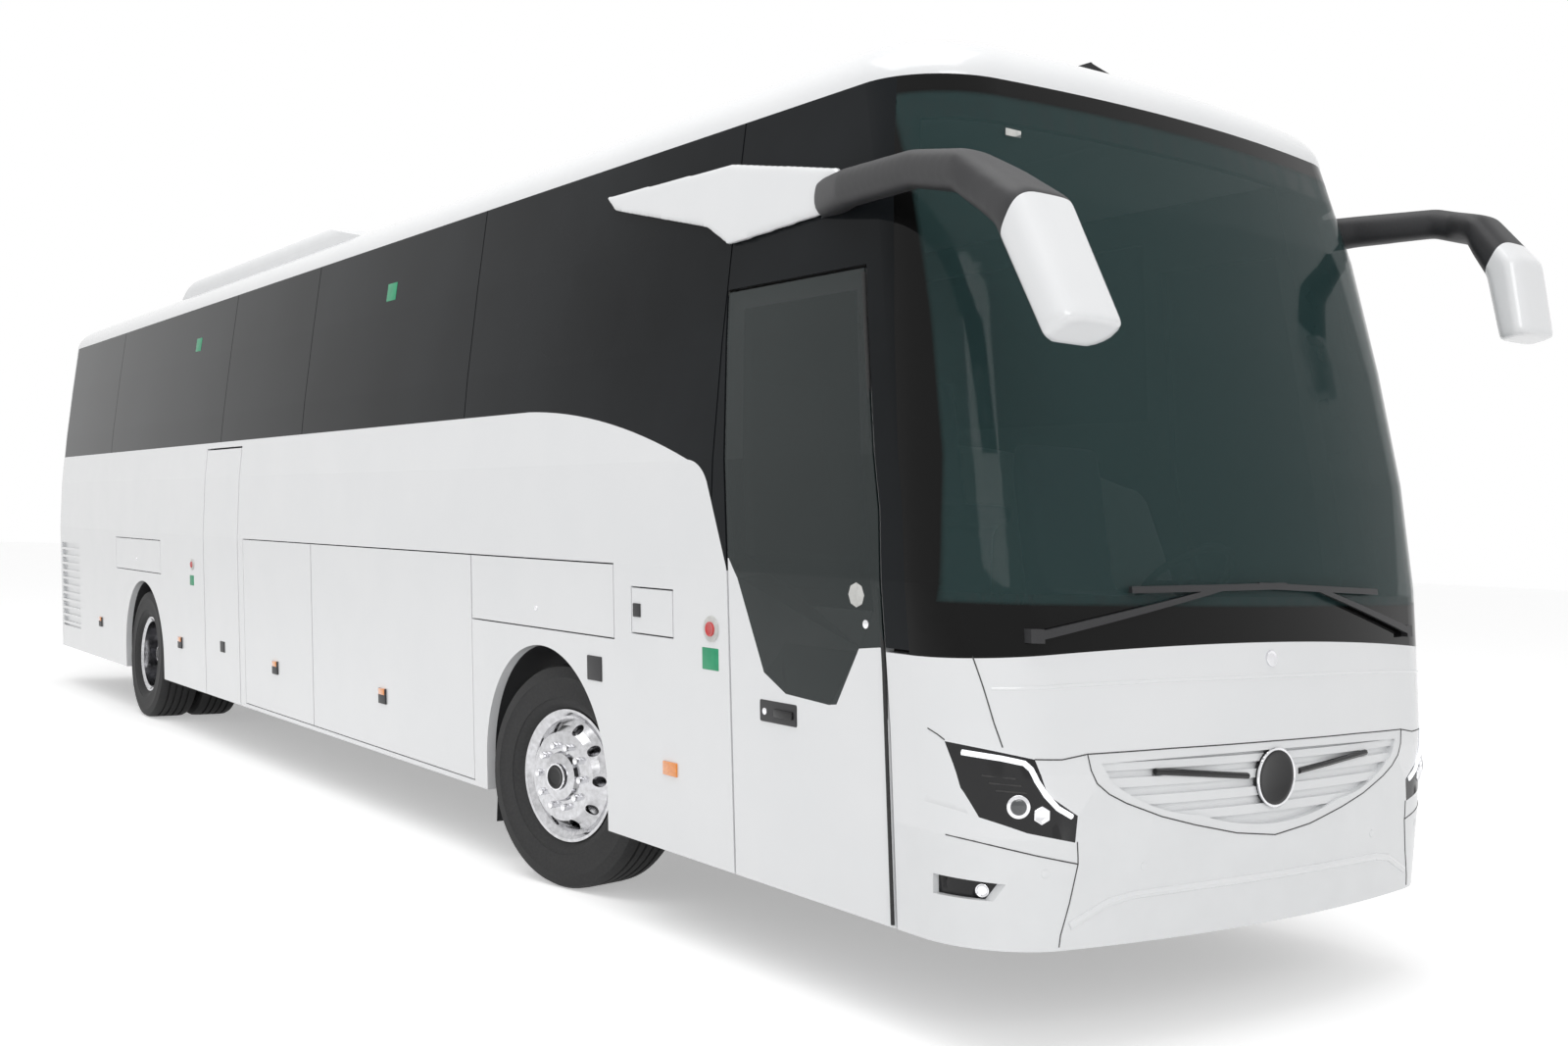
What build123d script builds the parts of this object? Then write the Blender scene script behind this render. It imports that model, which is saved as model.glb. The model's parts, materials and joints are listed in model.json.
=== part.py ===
from build123d import *
import os
from math import atan2, cos, hypot, pi, sin, sqrt

# A 13 m touring coach, in millimetres. +X is the coach's left, +Z is up, and it drives towards -Y.
# Stations run rearward from just behind the bumper's middle. ORIGIN_STATION is taken off them
# when a piece is saved, so the origin lies on the ground under the middle of the coach.

# Body envelope
HALF_WIDTH = 1275.0
SKIRT_Z = 350.0
BELT_Z = 1483.0
WAIST_Z = 2150.0
ROOF_Z = 3200.0
SKIRT_LEAN = 0.057
SHOULDER_Z = 1900.0
SHOULDER_IN = 105.0
TAIL_STATION = 13070.0
FRONT_BOW_R = 5300.0
FRONT_CORNER_R = 350.0
REAR_BOW_R = 9000.0
REAR_CORNER_R = 220.0
WALL = 45.0
GLASS = 8.0
ROOF_RISE = 262.0
ROOF_ROUND = 520.0
ROOF_RAKE = 1.4
ROOF_WALL = 60.0
CAP_STATION = 1460.0
REAR_SPLIT = 12780.0
GAP = 6.0
DOOR_GAP = 12.0

# Front rake: height, nose station. Every wall is straight from one height to the next.
RAKE = [(SKIRT_Z, -166), (640, -176), (900, -172), (1306, -131), (BELT_Z, -112),
        (SHOULDER_Z, -42), (2350, 60), (2800, 178), (ROOF_Z, 320)]
REAR_END = 12780.0

# Chassis
FRONT_AXLE = 2840.0
REAR_AXLE = 9750.0
HUB_Z = 505.0
TYRE_R = 505.0
BEAD_R = 283.0
BEAD_W = 216.0
FLANGE_R = 298.0
SPINDLE_R = 45.0
PLAY = 0.5
SEAT = 0.3
KINGPIN_X = 900.0
KINGPIN_R = 24.0
BOSS_R = 50.0
BOSS_H = 110.0
EAR_H = 35.0
FRONT_TYRE_X = 1021.0
TWIN_X = 900.0
TWIN_PITCH = 332.0
STEER_NOW = 12.8
RAIL_X = 400.0
RAIL_W = 80.0
RAIL_Z = 600.0
RAIL_H = 160.0
FRONT_ARCH = 2855.0
REAR_ARCH = 9790.0
ARCH_R = 585.0
LINER_R = 600.0
LINER = 6.0
LINER_FOOT = 420.0
LINER_X = {FRONT_ARCH: 462.0, REAR_ARCH: 540.0}
DECK_Z = 1300.0
DECK_T = 40.0
BAY_Z = 400.0
PLATE = 30.0
CAB_Z = 900.0

# Openings in the sides: doors and flaps, as stations and heights
MID_FRONT = 7280.0
MID_REAR = 8090.0
MID_TOP = 2110.0
FLAP_FOOT = 380.0
BAYS = [("luggage_flap_right_front", -1, 3580, 5850), ("luggage_flap_right_rear", -1, 5850, 7170),
        ("luggage_flap_left_front", 1, 3580, 5850), ("luggage_flap_left_rear", 1, 5850, 8100)]
SERVICE = [("service_flap_front", -1, 2190, 3580, 1165, BELT_Z),
           ("service_flap_rear", -1, 9240, 10640, 1165, 1430)]
FUEL = (1725, 2050, 1200, 1394)

# Door arms: pivot station, pin station, height of the arm
ARM_X = 1110.0
ARM_T = 30.0
ARM_H = 60.0
ARM_EYE_R = 26.0
PIN_R = 12.0
POST_R = 22.0

# Windows: stations of the seams along the band
PANES = [CAP_STATION, 3740, 6110, 7780, 10950, 12800]
PILLAR = 90.0
SEAM = 8.0
SILL = 70.0
HEAD = 150.0

FAR = 3000.0

# Mirror horns: x, station, height, width across, depth
RIGHT_HORN = [(-1195, 900, 2815, 110, 150), (-1300, 640, 2800, 110, 130), (-1385, 200, 2775, 110, 120),
              (-1415, -80, 2715, 150, 130), (-1430, -330, 2560, 180, 150), (-1430, -540, 2200, 180, 130)]
LEFT_HORN = [(1165, 700, 2960, 110, 150), (1290, 450, 2985, 110, 130), (1385, 150, 2990, 110, 120),
             (1415, -60, 2930, 150, 130), (1430, -190, 2760, 180, 150), (1430, -250, 2480, 180, 130)]


def half_width(z):
    """Half of the body's width at a height."""
    if z < BELT_Z:
        return HALF_WIDTH - SKIRT_LEAN * (BELT_Z - z)
    if z < SHOULDER_Z:
        return HALF_WIDTH
    return HALF_WIDTH - SHOULDER_IN * ((z - SHOULDER_Z) / (ROOF_Z - SHOULDER_Z)) ** 1.3


def turn(cx, cy, r, start, end, z):
    """An arc in plan at height z."""
    at = [(cx + r * cos(a), cy + r * sin(a), z) for a in (start, (start + end) / 2, end)]
    return Edge.make_three_point_arc(*at)


def front_corner(half, nose):
    """Centre of the corner arc that joins the bowed front to the straight side."""
    x = half - FRONT_CORNER_R
    return x, nose + FRONT_BOW_R - sqrt((FRONT_BOW_R - FRONT_CORNER_R) ** 2 - x ** 2)


def rear_corner(half, tail):
    x = half - REAR_CORNER_R
    return x, tail - REAR_BOW_R + sqrt((REAR_BOW_R - REAR_CORNER_R) ** 2 - x ** 2)


def front_edges(z, half, nose, inset=0.0):
    """Left corner, bow and right corner of the front, drawn in by inset."""
    x, y = front_corner(half, nose)
    centre = nose + FRONT_BOW_R
    a = atan2(y - centre, x)
    r = FRONT_CORNER_R - inset
    return [turn(x, y, r, 0, a, z), turn(0, centre, FRONT_BOW_R - inset, a, -pi - a, z),
            turn(-x, y, r, -pi - a, -pi, z)]


def rear_edges(z, half, tail, inset=0.0):
    x, y = rear_corner(half, tail)
    centre = tail - REAR_BOW_R
    a = atan2(y - centre, x)
    r = REAR_CORNER_R - inset
    return [turn(-x, y, r, pi, pi - a, z), turn(0, centre, REAR_BOW_R - inset, pi - a, a, z),
            turn(x, y, r, a, 0, z)]


def closed(edges):
    """Close an open run of edges with a straight one."""
    return Wire(edges + [Edge.make_line(edges[-1] @ 1, edges[0] @ 0)])


def envelope(inset, reach=0.0):
    """The body up to the roof line, drawn in by inset, taller by reach at both ends."""
    rows = []
    for z, nose in RAKE:
        level = z - reach if z == SKIRT_Z else z + reach if z == ROOF_Z else z
        rows.append((level, half_width(z), nose))
    front, rear, edge = [], [], []
    for z, half, nose in rows:
        front.append(closed(front_edges(z, half, nose, inset)))
        edge.append((front_corner(half, nose)[1], z))
        y = rear_corner(half, TAIL_STATION)[1]
        rear.append(Wire(rear_edges(z, half, TAIL_STATION, inset)
                         + [Edge.make_line((half - inset, y, z), (half - inset, REAR_END, z)),
                            Edge.make_line((half - inset, REAR_END, z), (inset - half, REAR_END, z)),
                            Edge.make_line((inset - half, REAR_END, z), (inset - half, y, z))]))
    section = [(half - inset, z) for z, half, _ in rows]
    section += [(-x, z) for x, z in reversed(section)]
    middle = extrude(loop(section, lambda u, v: (u, 0, v)), amount=REAR_END, dir=(0, 1, 0))
    ahead = [(edge[0][0], 0)] + edge + [(edge[-1][0], 2 * ROOF_Z), (-FAR, 2 * ROOF_Z), (-FAR, 0)]
    middle = middle - side_prism(ahead, 1, -FAR, FAR)
    return Solid.make_loft(front, True) + middle + Solid.make_loft(rear, True)


def outline(z, half, nose, tail):
    """The whole plan outline at one height."""
    front, rear = front_edges(z, half, nose), rear_edges(z, half, tail)
    return Wire(front + [Edge.make_line(front[-1] @ 1, rear[0] @ 0)] + rear
                + [Edge.make_line(rear[-1] @ 1, front[0] @ 0)])


def dome(wall, reach=0.0):
    """The roof: plan outlines drawn in along a quarter ellipse."""
    half, nose = half_width(ROOF_Z), RAKE[-1][1]
    rings = []
    for step in range(6):
        a = step * pi / 10
        rise = (ROOF_RISE - wall) * sin(a)
        inset = wall + (ROOF_ROUND - wall) * (1 - cos(a))
        z = ROOF_Z + rise - (reach if step == 0 else 0)
        rings.append(outline(z, half - inset, nose + ROOF_RAKE * inset, TAIL_STATION - inset))
    return Solid.make_loft(rings, False)


def loop(points, place):
    """A closed face. (u, v) is reached by a line, (mu, mv, u, v) by an arc through (mu, mv)."""
    edges = []
    last = points[0][-2:]
    for point in points[1:] + [points[0][-2:]]:
        end = point[-2:]
        if len(point) == 4:
            edges.append(Edge.make_three_point_arc(place(*last), place(*point[:2]), place(*end)))
        elif hypot(end[0] - last[0], end[1] - last[1]) > 0.01:
            edges.append(Edge.make_line(place(*last), place(*end)))
        last = end
    return Face(Wire(edges))


def side_prism(points, side, near=0.0, far=FAR):
    """A region of one side, drawn as (station, height), from |x| near to far."""
    face = loop(points, lambda u, v: (side * near, u, v))
    return extrude(face, amount=far - near, dir=(side, 0, 0))


def front_prism(points, start=-FAR / 2, end=900.0):
    """A region of the front, drawn as (x, height)."""
    face = loop(points, lambda u, v: (u, start, v))
    return extrude(face, amount=end - start, dir=(0, 1, 0))


def block(x0, x1, y0, y1, z0, z1):
    return Pos((x0 + x1) / 2, (y0 + y1) / 2, (z0 + z1) / 2) * Box(x1 - x0, y1 - y0, z1 - z0)


def rect(u0, u1, v0, v1):
    return [(u0, v0), (u1, v0), (u1, v1), (u0, v1)]


def spun(profile, x, station, side):
    """A profile of (outward, radius) turned round the wheel's axis."""
    face = loop(profile, lambda u, v: (side * (x + u), v, 0))
    return Pos(0, station, HUB_Z) * revolve(face, Axis.X)


def rod(x, station, z0, z1, r):
    return Pos(x, station, (z0 + z1) / 2) * Cylinder(r, z1 - z0)


def horn(stations):
    """Loft of rounded rectangles square to the path from point to point."""
    points = [Vector(*row[:3]) for row in stations]
    sections = []
    for i, row in enumerate(stations):
        ahead = points[min(i + 1, len(points) - 1)] - points[max(i - 1, 0)]
        plane = Plane(origin=points[i], x_dir=(1, 0, 0), z_dir=ahead)
        sections.append(plane * RectangleRounded(row[3], row[4], 45))
    return loft(sections, ruled=True)


HORNS = [horn(RIGHT_HORN), horn(LEFT_HORN)]
ORIGIN_STATION = (TAIL_STATION + min(shape.bounding_box().min.Y for shape in HORNS)) / 2


def solids(*shapes):
    found = []
    for shape in shapes:
        found += list(shape) if isinstance(shape, (list, ShapeList)) else [shape]
    return [solid for shape in found for solid in shape.solids()]


def save(name, *shapes):
    pieces = [Pos(0, -ORIGIN_STATION, 0) * solid for solid in solids(*shapes)]
    whole = pieces[0] if len(pieces) == 1 else Compound(pieces)
    export_step(whole, os.path.join("parts", name + ".step"))


def door_seam(z):
    """Station of the front door's front seam, which follows the raked screen."""
    seam = [(SKIRT_Z, 377), (1000, 400), (1265, 420), (1716, 456), (DOOR_TOP, 620), (ROOF_Z, 760)]
    for (z0, s0), (z1, s1) in zip(seam, seam[1:]):
        if z <= z1:
            return s0 + (s1 - s0) * (z - z0) / (z1 - z0)
    return seam[-1][1]


DOOR_TOP = 2537.0
DOOR_FRONT = [(door_seam(z), z) for z in (DOOR_TOP, 1716, 1265, 1000, SKIRT_Z)]
DOOR_REAR = [(1310, SKIRT_Z), (1334, BELT_Z), (1450, DOOR_TOP)]


def door_outline(by=0.0):
    front = [(u + DOOR_GAP - by, v) for u, v in DOOR_FRONT]
    rear = [(u + by, v) for u, v in DOOR_REAR]
    front[0] = (front[0][0], DOOR_TOP + by)
    rear[-1] = (rear[-1][0], DOOR_TOP + by)
    front[-1] = (front[-1][0], SKIRT_Z - 50)
    rear[0] = (rear[0][0], SKIRT_Z - 50)
    return front + rear


os.makedirs("parts", exist_ok=True)
outer = envelope(0)
under_glass = envelope(GLASS, 20)
inner = envelope(WALL, 20)
wall = outer - inner
skin = outer - under_glass
core = (under_glass & block(-FAR, FAR, -FAR, 5 * FAR, SKIRT_Z, ROOF_Z)) - inner

# White lower side: under the belt it is straight, in front it sweeps down to the door
SWEEP = [(1352, 1500), (1500, 1815), (1555, 1875, 1640, 1903), (2300, 2072, 3030, WAIST_Z)]
white = [(1310 + DOOR_GAP, SKIRT_Z - 50), (1334 + DOOR_GAP, BELT_Z)] + SWEEP
white += [(REAR_SPLIT, WAIST_Z), (REAR_SPLIT, SKIRT_Z - 50)]
LEFT_BAND_Z = 1265.0
left_white = [(door_seam(SKIRT_Z), SKIRT_Z - 50), (door_seam(LEFT_BAND_Z), LEFT_BAND_Z),
              (1250, LEFT_BAND_Z)] + SWEEP + [(REAR_SPLIT, WAIST_Z), (REAR_SPLIT, SKIRT_Z - 50)]


def arch(centre, r):
    foot = SKIRT_Z - 50
    return [(centre - r, foot), (centre - r, HUB_Z), (centre, HUB_Z + r, centre + r, HUB_Z),
            (centre + r, foot)]


def cut_side(shape, side):
    """Take the doorways, flaps and arches of one side out of a wall."""
    for centre in (FRONT_ARCH, REAR_ARCH):
        shape -= side_prism(arch(centre, ARCH_R), side)
    for _, flap_side, start, end in BAYS:
        if flap_side == side:
            shape -= side_prism(rect(start, end, FLAP_FOOT - GAP, BELT_Z), side)
    if side < 0:
        for _, _, start, end, low, high in SERVICE:
            shape -= side_prism(rect(start, end, low, high), side)
        shape -= side_prism(rect(FUEL[0], FUEL[1], FUEL[2], FUEL[3]), side)
        shape -= side_prism(rect(MID_FRONT, MID_REAR, SKIRT_Z - 50, MID_TOP), side)
    start, end, low, high = LOUVRE
    return shape - side_prism(rect(start, end, low, high), side)


LOUVRE = (12000, 12780, 520, 1370)


right_side = cut_side(wall & side_prism(white, -1), -1)
left_side = cut_side(wall & side_prism(left_white, 1), 1)
save("body_side_right", right_side)
save("body_side_left", left_side)

# Doors and flaps, each as thick as the wall

def leaf_arm(name, pivot, pin, height, foot):
    """A swing arm on a post, with an eye round the leaf's pin."""
    ahead = 1 if pin > pivot else -1
    post = rod(-ARM_X, pivot, foot + SEAT, height + ARM_H / 2, POST_R)
    bar = block(-ARM_X - ARM_T / 2, -ARM_X + ARM_T / 2, min(pivot, pin), max(pivot, pin),
                height - ARM_H / 2, height + ARM_H / 2)
    eye = rod(-ARM_X, pin, height - ARM_H / 2, height + ARM_H / 2, ARM_EYE_R)
    arm = post + bar + eye - rod(-ARM_X, pin, 0, FAR, PIN_R + PLAY)
    save(name, arm)


def leaf_lug(pin, height):
    """Two ears and a pin on the inside of a leaf."""
    ears = []
    for low in (height - ARM_H / 2 - SEAT - 15, height + ARM_H / 2 + SEAT):
        ears.append(block(-HALF_WIDTH + 5, -ARM_X + 2, pin - 20, pin + 20, low, low + 15)
                    + rod(-ARM_X, pin, low, low + 15, 20))
    pin_rod = rod(-ARM_X, pin, height - ARM_H / 2 - SEAT, height + ARM_H / 2 + SEAT, PIN_R)
    return (ears[0] + ears[1] + pin_rod) - (outer - inner)


FRONT_ARM = (540, 1140, 760, 460)
MID_ARM = (7990, 7470, 760, BAY_Z + PLATE)
leaf = wall & side_prism(door_outline(), -1)
upper_door = [(300, 1263), (451, 1263), (560, 1251), (686, 1051), (730, 1045), (980, 1058), (1112, 1123),
              (1274, 1458), (1334, 1530), (1500, 1530), (1500, 2700), (300, 2700)]
door_glass = (skin & side_prism(door_outline(), -1)) & side_prism(upper_door, -1)
window = [(door_seam(1380) + 60, 1380), (830, 1380), (1230, 1545), (1345, DOOR_TOP - 70),
          (door_seam(DOOR_TOP) + 50, DOOR_TOP - 70)]
leaf = leaf - door_glass - side_prism(window, -1)
leaf = leaf + leaf_lug(FRONT_ARM[1], FRONT_ARM[2])
save("front_door", leaf)
save("front_door_glass", door_glass)
leaf_arm("front_door_arm", *FRONT_ARM)

mid_leaf = wall & side_prism(rect(MID_FRONT + DOOR_GAP, MID_REAR - DOOR_GAP, SKIRT_Z - 50,
                                  MID_TOP - DOOR_GAP), -1)
save("mid_door", mid_leaf + leaf_lug(MID_ARM[1], MID_ARM[2]))
leaf_arm("mid_door_arm", *MID_ARM)

for name, side, start, end in BAYS:
    save(name, wall & side_prism(rect(start + GAP, end - GAP, FLAP_FOOT, BELT_Z - GAP), side))
for name, side, start, end, low, high in SERVICE:
    save(name, wall & side_prism(rect(start + GAP, end - GAP, low + GAP, high - GAP), side))
save("fuel_flap", wall & side_prism(rect(FUEL[0] + GAP, FUEL[1] - GAP, FUEL[2] + GAP,
                                         FUEL[3] - GAP), -1))

# Window band: a frame with the windows cut, and thin glass over it
right_band = [(1334 + DOOR_GAP, BELT_Z)] + SWEEP + [
    (REAR_SPLIT, WAIST_Z), (REAR_SPLIT, ROOF_Z), (door_seam(ROOF_Z), ROOF_Z),
    (door_seam(DOOR_TOP + DOOR_GAP), DOOR_TOP + DOOR_GAP), (1450 + DOOR_GAP, DOOR_TOP + DOOR_GAP)]
left_band = [(1250, LEFT_BAND_Z)] + SWEEP + [
    (REAR_SPLIT, WAIST_Z), (REAR_SPLIT, ROOF_Z), (door_seam(ROOF_Z), ROOF_Z),
    (door_seam(DOOR_TOP), DOOR_TOP), (door_seam(1716), 1716), (door_seam(LEFT_BAND_Z), LEFT_BAND_Z)]


def panes(side):
    """The window openings of one side."""
    holes = []
    for start, end in zip(PANES, PANES[1:]):
        sill = WAIST_Z + SILL
        holes.append(rect(start + PILLAR / 2, end - PILLAR / 2, sill, ROOF_Z - HEAD))
    if side > 0:
        holes.append([(door_seam(1400) + 70, 1400), (1180, 1400), (1360, 1900), (1400, 2900),
                      (door_seam(2900) + 70, 2900)])
    return [side_prism(hole, side) for hole in holes]


frames, glazing = [], []
for side, band in ((-1, right_band), (1, left_band)):
    frame = core & side_prism(band, side)
    sheet = skin & side_prism(band, side)
    for hole in panes(side):
        frame -= hole
    for start in PANES[:-1]:
        sheet -= side_prism(rect(start, start + SEAM, WAIST_Z - 400, ROOF_Z + 10), side)
    frames.append(frame)
    glazing.append(sheet)
save("window_frames", frames)

# Roof
roof_top = dome(0)
roof = roof_top - dome(ROOF_WALL, 20)
save("roof", roof & block(-FAR, FAR, CAP_STATION, 5 * FAR, 0, 5000))
save("roof_front_cap", roof & block(-FAR, FAR, -FAR, CAP_STATION, 0, 5000))
UNIT_HALF = 1010.0
UNIT_TOP = 3640.0
UNIT_START = 5600.0
unit = side_prism([(5650, 3340), (6740, 3560), (6950, UNIT_TOP), (9250, UNIT_TOP), (9520, 3560), (9850, 3380),
                   (9850, 3250), (5650, 3250)], 1, -UNIT_HALF, UNIT_HALF)
crown = loop([(-UNIT_HALF, 3250), (-UNIT_HALF, 3430), (-980, 3510, -900, 3545), (0, UNIT_TOP, 900, 3545),
              (980, 3510, UNIT_HALF, 3430), (UNIT_HALF, 3250)], lambda u, v: (u, 5000, v))
crown = extrude(crown, amount=6000, dir=(0, 1, 0))
slab = roof_top & block(-FAR, FAR, UNIT_START, UNIT_START + 1, 0, 5000)
cut_face = [face for face in slab.faces() if abs(face.center().Y - UNIT_START) < 0.001][0]
save("climate_unit", (unit & crown) - extrude(cut_face, amount=5000, dir=(0, 1, 0)))

# Front: screen, frame behind it, hood, grille, lamps and bumper, as (x, height) regions
SCREEN_SIDE = [(300, 1240), (345, 1716), (480, 2537), (600, ROOF_Z)]
screen_zone = side_prism([(-900, 1240)] + SCREEN_SIDE + [(-900, ROOF_Z)], 1, -FAR, FAR)
post_zone = side_prism([(door_seam(z), z) for z in (LEFT_BAND_Z, 1716, DOOR_TOP, ROOF_Z)]
                       + [(-900, ROOF_Z), (-900, LEFT_BAND_Z)], 1, -FAR, FAR)
BAND_FOOT = [(-1400, 1240), (-1250, 1251), (0, 1306, 1250, 1251), (1400, 1240)]
above_band = front_prism(BAND_FOOT + [(1400, ROOF_Z + 50), (-1400, ROOF_Z + 50)])
screen = (skin & screen_zone) & above_band
save("windshield", screen)
opening = side_prism([(-900, 1460), (250, 1460), (300, 1716), (430, 2537), (520, 3040), (-900, 3040)],
                     1, -FAR, FAR)
front_frame = ((core & post_zone) & above_band) - opening
pillar_skin = ((skin & post_zone) & above_band) - screen_zone
save("front_frame", front_frame)
save("side_glass", glazing, pillar_skin)

CORNER_SEAM = 700.0
HOOD = [(-1005, 1400), (-930, 975), (-876, 955), (0, 968, 876, 955), (930, 975), (1005, 1400)]
GRILLE = [(-876, 955), (0, 968, 876, 955), (819, 860), (640, 765, 399, 713), (0, 650, -399, 713),
          (-640, 765, -819, 860)]
LAMP = [(-1400, 985), (-1229, 991), (-1042, 950), (-1001, 839), (-891, 771), (-899, 688), (-1059, 722),
        (-1170, 764), (-1400, 860)]
BUMPER = [(-886, 620), (-937, 300), (937, 300), (886, 620), (899, 688), (891, 771), (819, 860),
          (640, 765, 399, 713), (0, 650, -399, 713), (-640, 765, -819, 860), (-891, 771), (-899, 688)]
lower_front = wall & block(-FAR, FAR, -FAR, 500, SKIRT_Z, 1400)
lower_front = lower_front & side_prism([(-900, 300)] + [(door_seam(z), z) for z in (300, 1000, 1400)]
                                       + [(-900, 1400)], 1, -FAR, FAR)
lower_front = lower_front - above_band
hood_zone, grille_zone = front_prism(HOOD), front_prism(GRILLE)
lamp_zone = front_prism(LAMP, -FAR / 2, 250) + mirror(front_prism(LAMP, -FAR / 2, 250), about=Plane.YZ)
bumper_zone = front_prism(BUMPER)
save("front_panel", lower_front & hood_zone)
grille = lower_front & grille_zone
RIB_Z = [(730, 760), (790, 820), (850, 880), (905, 930)]
recess = envelope(25, 20)
shallow = envelope(10, 20)
field = [(-800, 930), (0, 942, 800, 930), (760, 870), (600, 790, 380, 745), (0, 690, -380, 745),
         (-600, 790, -760, 870)]
field_zone = front_prism(field)
grille_base = grille & recess
rib_zone = [front_prism(rect(-1000, 1000, low, high)) for low, high in RIB_Z]
slats = [(grille & field_zone & zone) for zone in rib_zone]
grille_part = (grille - field_zone) + (grille_base & field_zone)
for slat in slats:
    grille_part = grille_part + (slat & shallow)
save("grille", grille_part)
headlamps = lower_front & lamp_zone
save("front_bumper", (lower_front & bumper_zone) - lamp_zone)
corners = lower_front - hood_zone - grille_zone - lamp_zone - bumper_zone
seam_cut = block(-FAR, FAR, -FAR, 600, CORNER_SEAM, 2000)
low_corners = corners - seam_cut
fog_zone = front_prism([(-1300, 572), (-1105, 560), (-1128, 505), (-1300, 503)], -FAR / 2, 205)
fog_zone = fog_zone + mirror(fog_zone, about=Plane.YZ)
save("front_corners", corners & seam_cut)
save("bumper_corners", low_corners - fog_zone)
save("front_lamps", headlamps, (low_corners & fog_zone) & recess)

# Rear: panel with corner posts, window, engine hatch, bumper and tail lamps
rear = wall & block(-FAR, FAR, REAR_SPLIT, 5 * FAR, SKIRT_Z, ROOF_Z)
REAR_WINDOW = rect(-1040, 1040, 2150, 3080)
HATCH = rect(-900, 900, 640, 1750)
rear_glass_zone = front_prism(REAR_WINDOW, REAR_SPLIT - 100, TAIL_STATION + 500)
hatch_zone = front_prism(HATCH, REAR_SPLIT - 100, TAIL_STATION + 500)
hatch_leaf = front_prism(rect(-900 + GAP, 900 - GAP, 640 + GAP, 1750 - GAP), REAR_SPLIT - 100,
                         TAIL_STATION + 500)
tail_zone = front_prism(rect(-1190, -1000, 900, 1560), REAR_SPLIT + 60, TAIL_STATION + 500)
tail_zone = tail_zone + mirror(tail_zone, about=Plane.YZ)
REAR_BUMPER_TOP = 600.0
rear_window = rear & rear_glass_zone & (outer - under_glass)
save("rear_window", rear_window)
HATCH_PIN_R = 2.7
HATCH_PIN = (TAIL_STATION - HATCH_PIN_R, 1750 - GAP / 2)
barrel = Pos(0, *HATCH_PIN) * Rot(0, 90, 0) * Cylinder(HATCH_PIN_R, 200)
barrel = barrel + block(-100, 100, TAIL_STATION - 2 * HATCH_PIN_R, TAIL_STATION, 1740, HATCH_PIN[1])
save("engine_hatch", (rear & hatch_leaf) + barrel)
save("tail_lamps", rear & tail_zone)
save("rear_bumper", rear & block(-FAR, FAR, 0, 5 * FAR, 0, REAR_BUMPER_TOP))
view_hole = front_prism(rect(-960, 960, 2230, 3000), REAR_SPLIT - 100, TAIL_STATION + 500)
save("rear_panel", rear - rear_window - hatch_zone - tail_zone - view_hole
     - block(-FAR, FAR, 0, 5 * FAR, 0, REAR_BUMPER_TOP))

# Louvres at the rear corners
start, end, low, high = LOUVRE
SLAT_PITCH = 70.0
louvre_panels = []
for side in (-1, 1):
    zone = side_prism(rect(start, end, low, high), side)
    field = side_prism(rect(start + 30, end - 30, low + 30, high - 30), side)
    panel = (wall & zone) - field
    plate = ((recess - inner) & field) & block(-FAR, FAR, 0, 5 * FAR, SKIRT_Z, ROOF_Z)
    panel = panel + plate
    count = int((high - low - 60) // SLAT_PITCH)
    for i in range(count):
        z = low + 50 + i * SLAT_PITCH
        panel = panel + (wall & side_prism(rect(start + 20, end - 20, z, z + 22), side))
    louvre_panels.append(panel)
save("louvres", louvre_panels)

# Chassis: rails between the cross plates, bay floors, lashing eyes
inside = inner & block(-FAR, FAR, -FAR, 5 * FAR, SKIRT_Z + 5, ROOF_Z)
CROSS = (1600, 3500, 5850, 7200, 9120, 10560, 12840)
members = [inside & block(-FAR, FAR, station, station + PLATE, BAY_Z, DECK_Z) for station in CROSS]
rail_starts = (60,) + tuple(station + PLATE for station in CROSS)
rail_ends = CROSS + (12950,)
for start, end in zip(rail_starts, rail_ends):
    for middle in (-RAIL_X, RAIL_X):
        members.append(block(middle - RAIL_W / 2, middle + RAIL_W / 2, start, end, RAIL_Z, RAIL_Z + RAIL_H))
FLOORS = ((-FAR, 60, 330), (-560, 330, 1400), (-FAR, 1400, 1600), (-FAR, 3530, 5850), (-FAR, 5880, 7200),
          (-FAR, 7230, 9120), (-FAR, 10590, 12840))
for edge, start, end in FLOORS:
    members.append(inside & block(edge, FAR, start, end, BAY_Z, BAY_Z + PLATE))
EYE_R = 20.0
EYE_T = 30.0
EYE_Z = 315.0
for station in (1500, 12600):
    for x in (-300, 300):
        lug = block(x - EYE_T / 2, x + EYE_T / 2, station - 45, station + 45, EYE_Z - 37, BAY_Z)
        members.append(lug - Pos(x, station, EYE_Z) * Rot(0, 90, 0) * Cylinder(EYE_R, 2 * EYE_T))
save("underframe", members)

# Cabin floor: panels before, beside and behind the mid stairwell
MID_WELL = (MID_FRONT - 10, MID_REAR + 10)
PANELS = ((-FAR, 1600, MID_WELL[0]), (-520, MID_WELL[0], MID_WELL[1]), (-FAR, MID_WELL[1], 12870))
save("cabin_floor", [inside & block(edge, FAR, start, end, DECK_Z, DECK_Z + DECK_T)
                     for edge, start, end in PANELS])

# Driver's platform and entrance steps
platform = block(-200, FAR, 60, 1600, CAB_Z, CAB_Z + DECK_T) & inside
stair = (block(-FAR, -560, 330, 1600, BAY_Z, BAY_Z + PLATE) + block(-560, -380, 330, 1600, BAY_Z, 660)
         + block(-380, -200, 330, 1600, BAY_Z, CAB_Z + DECK_T))
save("entrance_steps", ((stair & inside) + platform) - members)

# Engine, axles, knuckles and wheels
ENGINE = (10700, 12100, 450, 1250)
save("engine_block", block(-(RAIL_X - RAIL_W / 2), RAIL_X - RAIL_W / 2, *ENGINE))

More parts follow.
